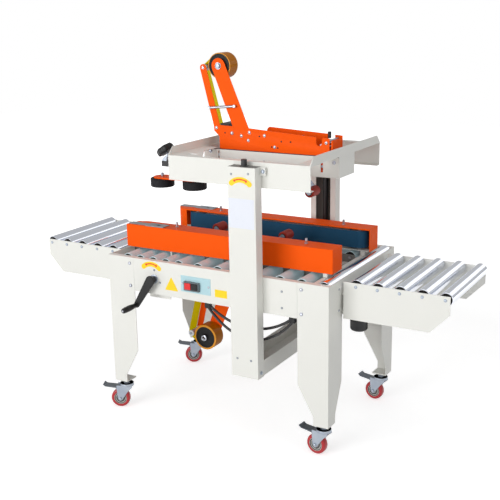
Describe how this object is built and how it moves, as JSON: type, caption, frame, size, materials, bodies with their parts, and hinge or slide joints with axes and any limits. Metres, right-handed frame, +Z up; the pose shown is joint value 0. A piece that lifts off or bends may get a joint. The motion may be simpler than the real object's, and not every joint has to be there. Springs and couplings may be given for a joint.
{
  "type": "carton sealer machine",
  "caption": "Side-belt carton sealer on casters with powered belts, roller tables and upper and lower tape heads.",
  "frame": {"origin": "centre of the bounding box on the floor", "axes": "+X along the carton travel (outfeed), -Y towards the operator, +Z up"},
  "size_m": [1.816, 0.791, 1.46],
  "materials": {
    "cream_paint": "powder coat",
    "orange_paint": "powder coat",
    "black_paint": "satin paint",
    "roller_steel": "bright zinc tube",
    "zinc": "zinc plated",
    "belt_rubber": "ribbed flat belt",
    "press_rubber": "red-brown rubber",
    "wheel_plastic": "translucent red polyurethane",
    "tape": "brown packing tape",
    "black_plastic": "moulded",
    "red_plastic": "moulded",
    "cable": "cable sheath"
  },
  "bodies": {
    "machine_frame": {"leg_front_left": "cream_paint", "leg_front_right": "cream_paint", "leg_back_left": "cream_paint", "leg_back_right": "cream_paint", "front_panel": "cream_paint", "back_panel": "cream_paint", "infeed_end_plate": "cream_paint", "outfeed_end_plate": "cream_paint", "bed_subframe": "roller_steel", "infeed_table": "cream_paint", "outfeed_table": "cream_paint", "front_column": "cream_paint", "rear_column": "cream_paint", "lower_channel": "cream_paint", "lower_head_plates": "orange_paint", "motor_cables": "cable"},
    "tape_head_frame": {"head_frame": "cream_paint", "upper_head_plates": "orange_paint"},
    "near_belt_drive": {"near_belt_cover": "orange_paint", "near_belt": "belt_rubber", "near_belt_carriage": "black_paint"},
    "far_belt_drive": {"far_belt_cover": "orange_paint", "far_belt": "belt_rubber", "far_belt_carriage": "black_paint"},
    "width_crank": {"width_crank": "black_paint"},
    "stop_button": {"stop_button": "red_plastic"},
    "start_button": {"start_button": "black_plastic"},
    "bed_end_roller": {"bed_end_roller": "roller_steel"},
    "infeed_roller_1": {"infeed_roller_1": "roller_steel"},
    "infeed_roller_2": {"infeed_roller_2": "roller_steel"},
    "infeed_roller_3": {"infeed_roller_3": "roller_steel"},
    "infeed_roller_4": {"infeed_roller_4": "roller_steel"},
    "infeed_roller_5": {"infeed_roller_5": "roller_steel"},
    "outfeed_roller_1": {"outfeed_roller_1": "roller_steel"},
    "outfeed_roller_2": {"outfeed_roller_2": "roller_steel"},
    "outfeed_roller_3": {"outfeed_roller_3": "roller_steel"},
    "outfeed_roller_4": {"outfeed_roller_4": "roller_steel"},
    "outfeed_roller_5": {"outfeed_roller_5": "roller_steel"},
    "upper_tape_roll": {"upper_tape_roll": "tape"},
    "lower_tape_roll": {"lower_tape_roll": "tape"},
    "upper_infeed_press_arm": {"upper_infeed_press_arm": "press_rubber"},
    "upper_outfeed_press_arm": {"upper_outfeed_press_arm": "press_rubber"},
    "lower_infeed_press_arm": {"lower_infeed_press_arm": "press_rubber"},
    "lower_outfeed_press_arm": {"lower_outfeed_press_arm": "press_rubber"},
    "press_bracket": {"press_bracket": "orange_paint"},
    "press_knob": {"press_knob": "black_plastic"},
    "infeed_press_disc": {"infeed_press_disc": "black_plastic"},
    "outfeed_press_disc": {"outfeed_press_disc": "black_plastic"},
    "caster_fork_front_left": {"caster_fork_front_left": "zinc"},
    "caster_wheel_front_left": {"caster_wheel_front_left": "wheel_plastic"},
    "brake_pedal_front_left": {"brake_pedal_front_left": "zinc"},
    "caster_fork_front_right": {"caster_fork_front_right": "zinc"},
    "caster_wheel_front_right": {"caster_wheel_front_right": "wheel_plastic"},
    "brake_pedal_front_right": {"brake_pedal_front_right": "zinc"},
    "caster_fork_back_left": {"caster_fork_back_left": "zinc"},
    "caster_wheel_back_left": {"caster_wheel_back_left": "wheel_plastic"},
    "brake_pedal_back_left": {"brake_pedal_back_left": "zinc"},
    "caster_fork_back_right": {"caster_fork_back_right": "zinc"},
    "caster_wheel_back_right": {"caster_wheel_back_right": "wheel_plastic"},
    "brake_pedal_back_right": {"brake_pedal_back_right": "zinc"}
  },
  "joints": [
    {"name": "head_height", "type": "slide", "parent": "machine_frame", "child": "tape_head_frame", "axis": [0, 0, 1], "range_m": [-0.15, 0]},
    {"name": "near_belt_width", "type": "slide", "parent": "machine_frame", "child": "near_belt_drive", "axis": [0, 1, 0], "range_m": [-0.08, 0.055]},
    {"name": "far_belt_width", "type": "slide", "parent": "machine_frame", "child": "far_belt_drive", "axis": [0, 1, 0], "range_m": [-0.055, 0.08]},
    {"name": "width_crank_turn", "type": "hinge", "parent": "machine_frame", "child": "width_crank", "pos_m": [-0.26725, -0.3075, 0.598], "axis": [0, 1, 0], "range_deg": [-2880.5, 1980.5]},
    {"name": "stop_button_press", "type": "slide", "parent": "machine_frame", "child": "stop_button", "axis": [0, 1, 0], "range_m": [0, 0.002], "stiffness_N_per_m": 400, "springref_m": -0.002},
    {"name": "start_button_press", "type": "slide", "parent": "machine_frame", "child": "start_button", "axis": [0, 1, 0], "range_m": [0, 0.002], "stiffness_N_per_m": 400, "springref_m": -0.002},
    {"name": "bed_end_roller_spin", "type": "hinge", "parent": "machine_frame", "child": "bed_end_roller", "pos_m": [0.4627, 0.0375, 0.655], "axis": [0, 1, 0], "continuous": true},
    {"name": "infeed_roller_1_spin", "type": "hinge", "parent": "machine_frame", "child": "infeed_roller_1", "pos_m": [-0.883, 0.0375, 0.6535], "axis": [0, 1, 0], "continuous": true},
    {"name": "infeed_roller_2_spin", "type": "hinge", "parent": "machine_frame", "child": "infeed_roller_2", "pos_m": [-0.8, 0.0375, 0.6535], "axis": [0, 1, 0], "continuous": true},
    {"name": "infeed_roller_3_spin", "type": "hinge", "parent": "machine_frame", "child": "infeed_roller_3", "pos_m": [-0.717, 0.0375, 0.6535], "axis": [0, 1, 0], "continuous": true},
    {"name": "infeed_roller_4_spin", "type": "hinge", "parent": "machine_frame", "child": "infeed_roller_4", "pos_m": [-0.634, 0.0375, 0.6535], "axis": [0, 1, 0], "continuous": true},
    {"name": "infeed_roller_5_spin", "type": "hinge", "parent": "machine_frame", "child": "infeed_roller_5", "pos_m": [-0.551, 0.0375, 0.6535], "axis": [0, 1, 0], "continuous": true},
    {"name": "outfeed_roller_1_spin", "type": "hinge", "parent": "machine_frame", "child": "outfeed_roller_1", "pos_m": [0.883, 0.0375, 0.6535], "axis": [0, 1, 0], "continuous": true},
    {"name": "outfeed_roller_2_spin", "type": "hinge", "parent": "machine_frame", "child": "outfeed_roller_2", "pos_m": [0.8, 0.0375, 0.6535], "axis": [0, 1, 0], "continuous": true},
    {"name": "outfeed_roller_3_spin", "type": "hinge", "parent": "machine_frame", "child": "outfeed_roller_3", "pos_m": [0.717, 0.0375, 0.6535], "axis": [0, 1, 0], "continuous": true},
    {"name": "outfeed_roller_4_spin", "type": "hinge", "parent": "machine_frame", "child": "outfeed_roller_4", "pos_m": [0.634, 0.0375, 0.6535], "axis": [0, 1, 0], "continuous": true},
    {"name": "outfeed_roller_5_spin", "type": "hinge", "parent": "machine_frame", "child": "outfeed_roller_5", "pos_m": [0.551, 0.0375, 0.6535], "axis": [0, 1, 0], "continuous": true},
    {"name": "upper_tape_roll_spin", "type": "hinge", "parent": "tape_head_frame", "child": "upper_tape_roll", "pos_m": [-0.1125, 0.0375, 1.41], "axis": [0, 1, 0], "continuous": true},
    {"name": "lower_tape_roll_spin", "type": "hinge", "parent": "machine_frame", "child": "lower_tape_roll", "pos_m": [-0.228, 0.0375, 0.262], "axis": [0, 1, 0], "continuous": true},
    {"name": "upper_infeed_arm_swing", "type": "hinge", "parent": "tape_head_frame", "child": "upper_infeed_press_arm", "pos_m": [0.0775, 0.0375, 1.052], "axis": [0, 1, 0], "range_deg": [0, 30], "stiffness_Nm_per_rad": 4, "springref_deg": -17.19},
    {"name": "upper_outfeed_arm_swing", "type": "hinge", "parent": "tape_head_frame", "child": "upper_outfeed_press_arm", "pos_m": [0.1615, 0.0375, 1.052], "axis": [0, 1, 0], "range_deg": [-30, 0], "stiffness_Nm_per_rad": 4, "springref_deg": 17.19},
    {"name": "lower_infeed_arm_swing", "type": "hinge", "parent": "machine_frame", "child": "lower_infeed_press_arm", "pos_m": [-0.038, 0.0375, 0.641], "axis": [0, 1, 0], "range_deg": [-30, 0], "stiffness_Nm_per_rad": 4, "springref_deg": 22.92},
    {"name": "lower_outfeed_arm_swing", "type": "hinge", "parent": "machine_frame", "child": "lower_outfeed_press_arm", "pos_m": [0.046, 0.0375, 0.641], "axis": [0, 1, 0], "range_deg": [0, 30], "stiffness_Nm_per_rad": 4, "springref_deg": -22.92},
    {"name": "press_bracket_slide", "type": "slide", "parent": "tape_head_frame", "child": "press_bracket", "axis": [0, 1, 0], "range_m": [-0.02, 0.06]},
    {"name": "press_knob_turn", "type": "hinge", "parent": "press_bracket", "child": "press_knob", "pos_m": [-0.2825, -0.1425, 1.092], "axis": [-0.5878, 0, 0.809], "continuous": true},
    {"name": "infeed_press_disc_spin", "type": "hinge", "parent": "press_bracket", "child": "infeed_press_disc", "pos_m": [-0.3015, -0.1425, 0.946], "axis": [0, 0, 1], "continuous": true},
    {"name": "outfeed_press_disc_spin", "type": "hinge", "parent": "press_bracket", "child": "outfeed_press_disc", "pos_m": [-0.1485, -0.1425, 0.946], "axis": [0, 0, 1], "continuous": true},
    {"name": "swivel_front_left", "type": "hinge", "parent": "machine_frame", "child": "caster_fork_front_left", "pos_m": [-0.4595, -0.2415, 0.11], "axis": [0, 0, 1], "continuous": true},
    {"name": "wheel_spin_front_left", "type": "hinge", "parent": "caster_fork_front_left", "child": "caster_wheel_front_left", "pos_m": [-0.48488, -0.25333, 0.04], "axis": [0.4226, -0.9063, 0], "continuous": true},
    {"name": "brake_front_left", "type": "hinge", "parent": "caster_fork_front_left", "child": "brake_pedal_front_left", "pos_m": [-0.49213, -0.25671, 0.089], "axis": [0.4226, -0.9063, 0], "range_deg": [0, 12]},
    {"name": "swivel_front_right", "type": "hinge", "parent": "machine_frame", "child": "caster_fork_front_right", "pos_m": [0.4595, -0.2415, 0.11], "axis": [0, 0, 1], "continuous": true},
    {"name": "wheel_spin_front_right", "type": "hinge", "parent": "caster_fork_front_right", "child": "caster_wheel_front_right", "pos_m": [0.43161, -0.23906, 0.04], "axis": [-0.0872, -0.9962, 0], "continuous": true},
    {"name": "brake_front_right", "type": "hinge", "parent": "caster_fork_front_right", "child": "brake_pedal_front_right", "pos_m": [0.42364, -0.23836, 0.089], "axis": [-0.0872, -0.9962, 0], "range_deg": [0, 12]},
    {"name": "swivel_back_left", "type": "hinge", "parent": "machine_frame", "child": "caster_fork_back_left", "pos_m": [-0.4595, 0.3165, 0.11], "axis": [0, 0, 1], "continuous": true},
    {"name": "wheel_spin_back_left", "type": "hinge", "parent": "caster_fork_back_left", "child": "caster_wheel_back_left", "pos_m": [-0.48488, 0.30467, 0.04], "axis": [0.4226, -0.9063, 0], "continuous": true},
    {"name": "brake_back_left", "type": "hinge", "parent": "caster_fork_back_left", "child": "brake_pedal_back_left", "pos_m": [-0.49213, 0.30129, 0.089], "axis": [0.4226, -0.9063, 0], "range_deg": [0, 12]},
    {"name": "swivel_back_right", "type": "hinge", "parent": "machine_frame", "child": "caster_fork_back_right", "pos_m": [0.4595, 0.3165, 0.11], "axis": [0, 0, 1], "continuous": true},
    {"name": "wheel_spin_back_right", "type": "hinge", "parent": "caster_fork_back_right", "child": "caster_wheel_back_right", "pos_m": [0.43161, 0.31894, 0.04], "axis": [-0.0872, -0.9962, 0], "continuous": true},
    {"name": "brake_back_right", "type": "hinge", "parent": "caster_fork_back_right", "child": "brake_pedal_back_right", "pos_m": [0.42364, 0.31964, 0.089], "axis": [-0.0872, -0.9962, 0], "range_deg": [0, 12]}
  ],
  "couplings": [
    {"joint": "far_belt_width", "follows": "near_belt_width", "ratio": -1},
    {"joint": "width_crank_turn", "follows": "near_belt_width", "rad_per_m": 628.32},
    {"joint": "upper_outfeed_arm_swing", "follows": "upper_infeed_arm_swing", "ratio": -1},
    {"joint": "lower_outfeed_arm_swing", "follows": "lower_infeed_arm_swing", "ratio": -1}
  ]
}
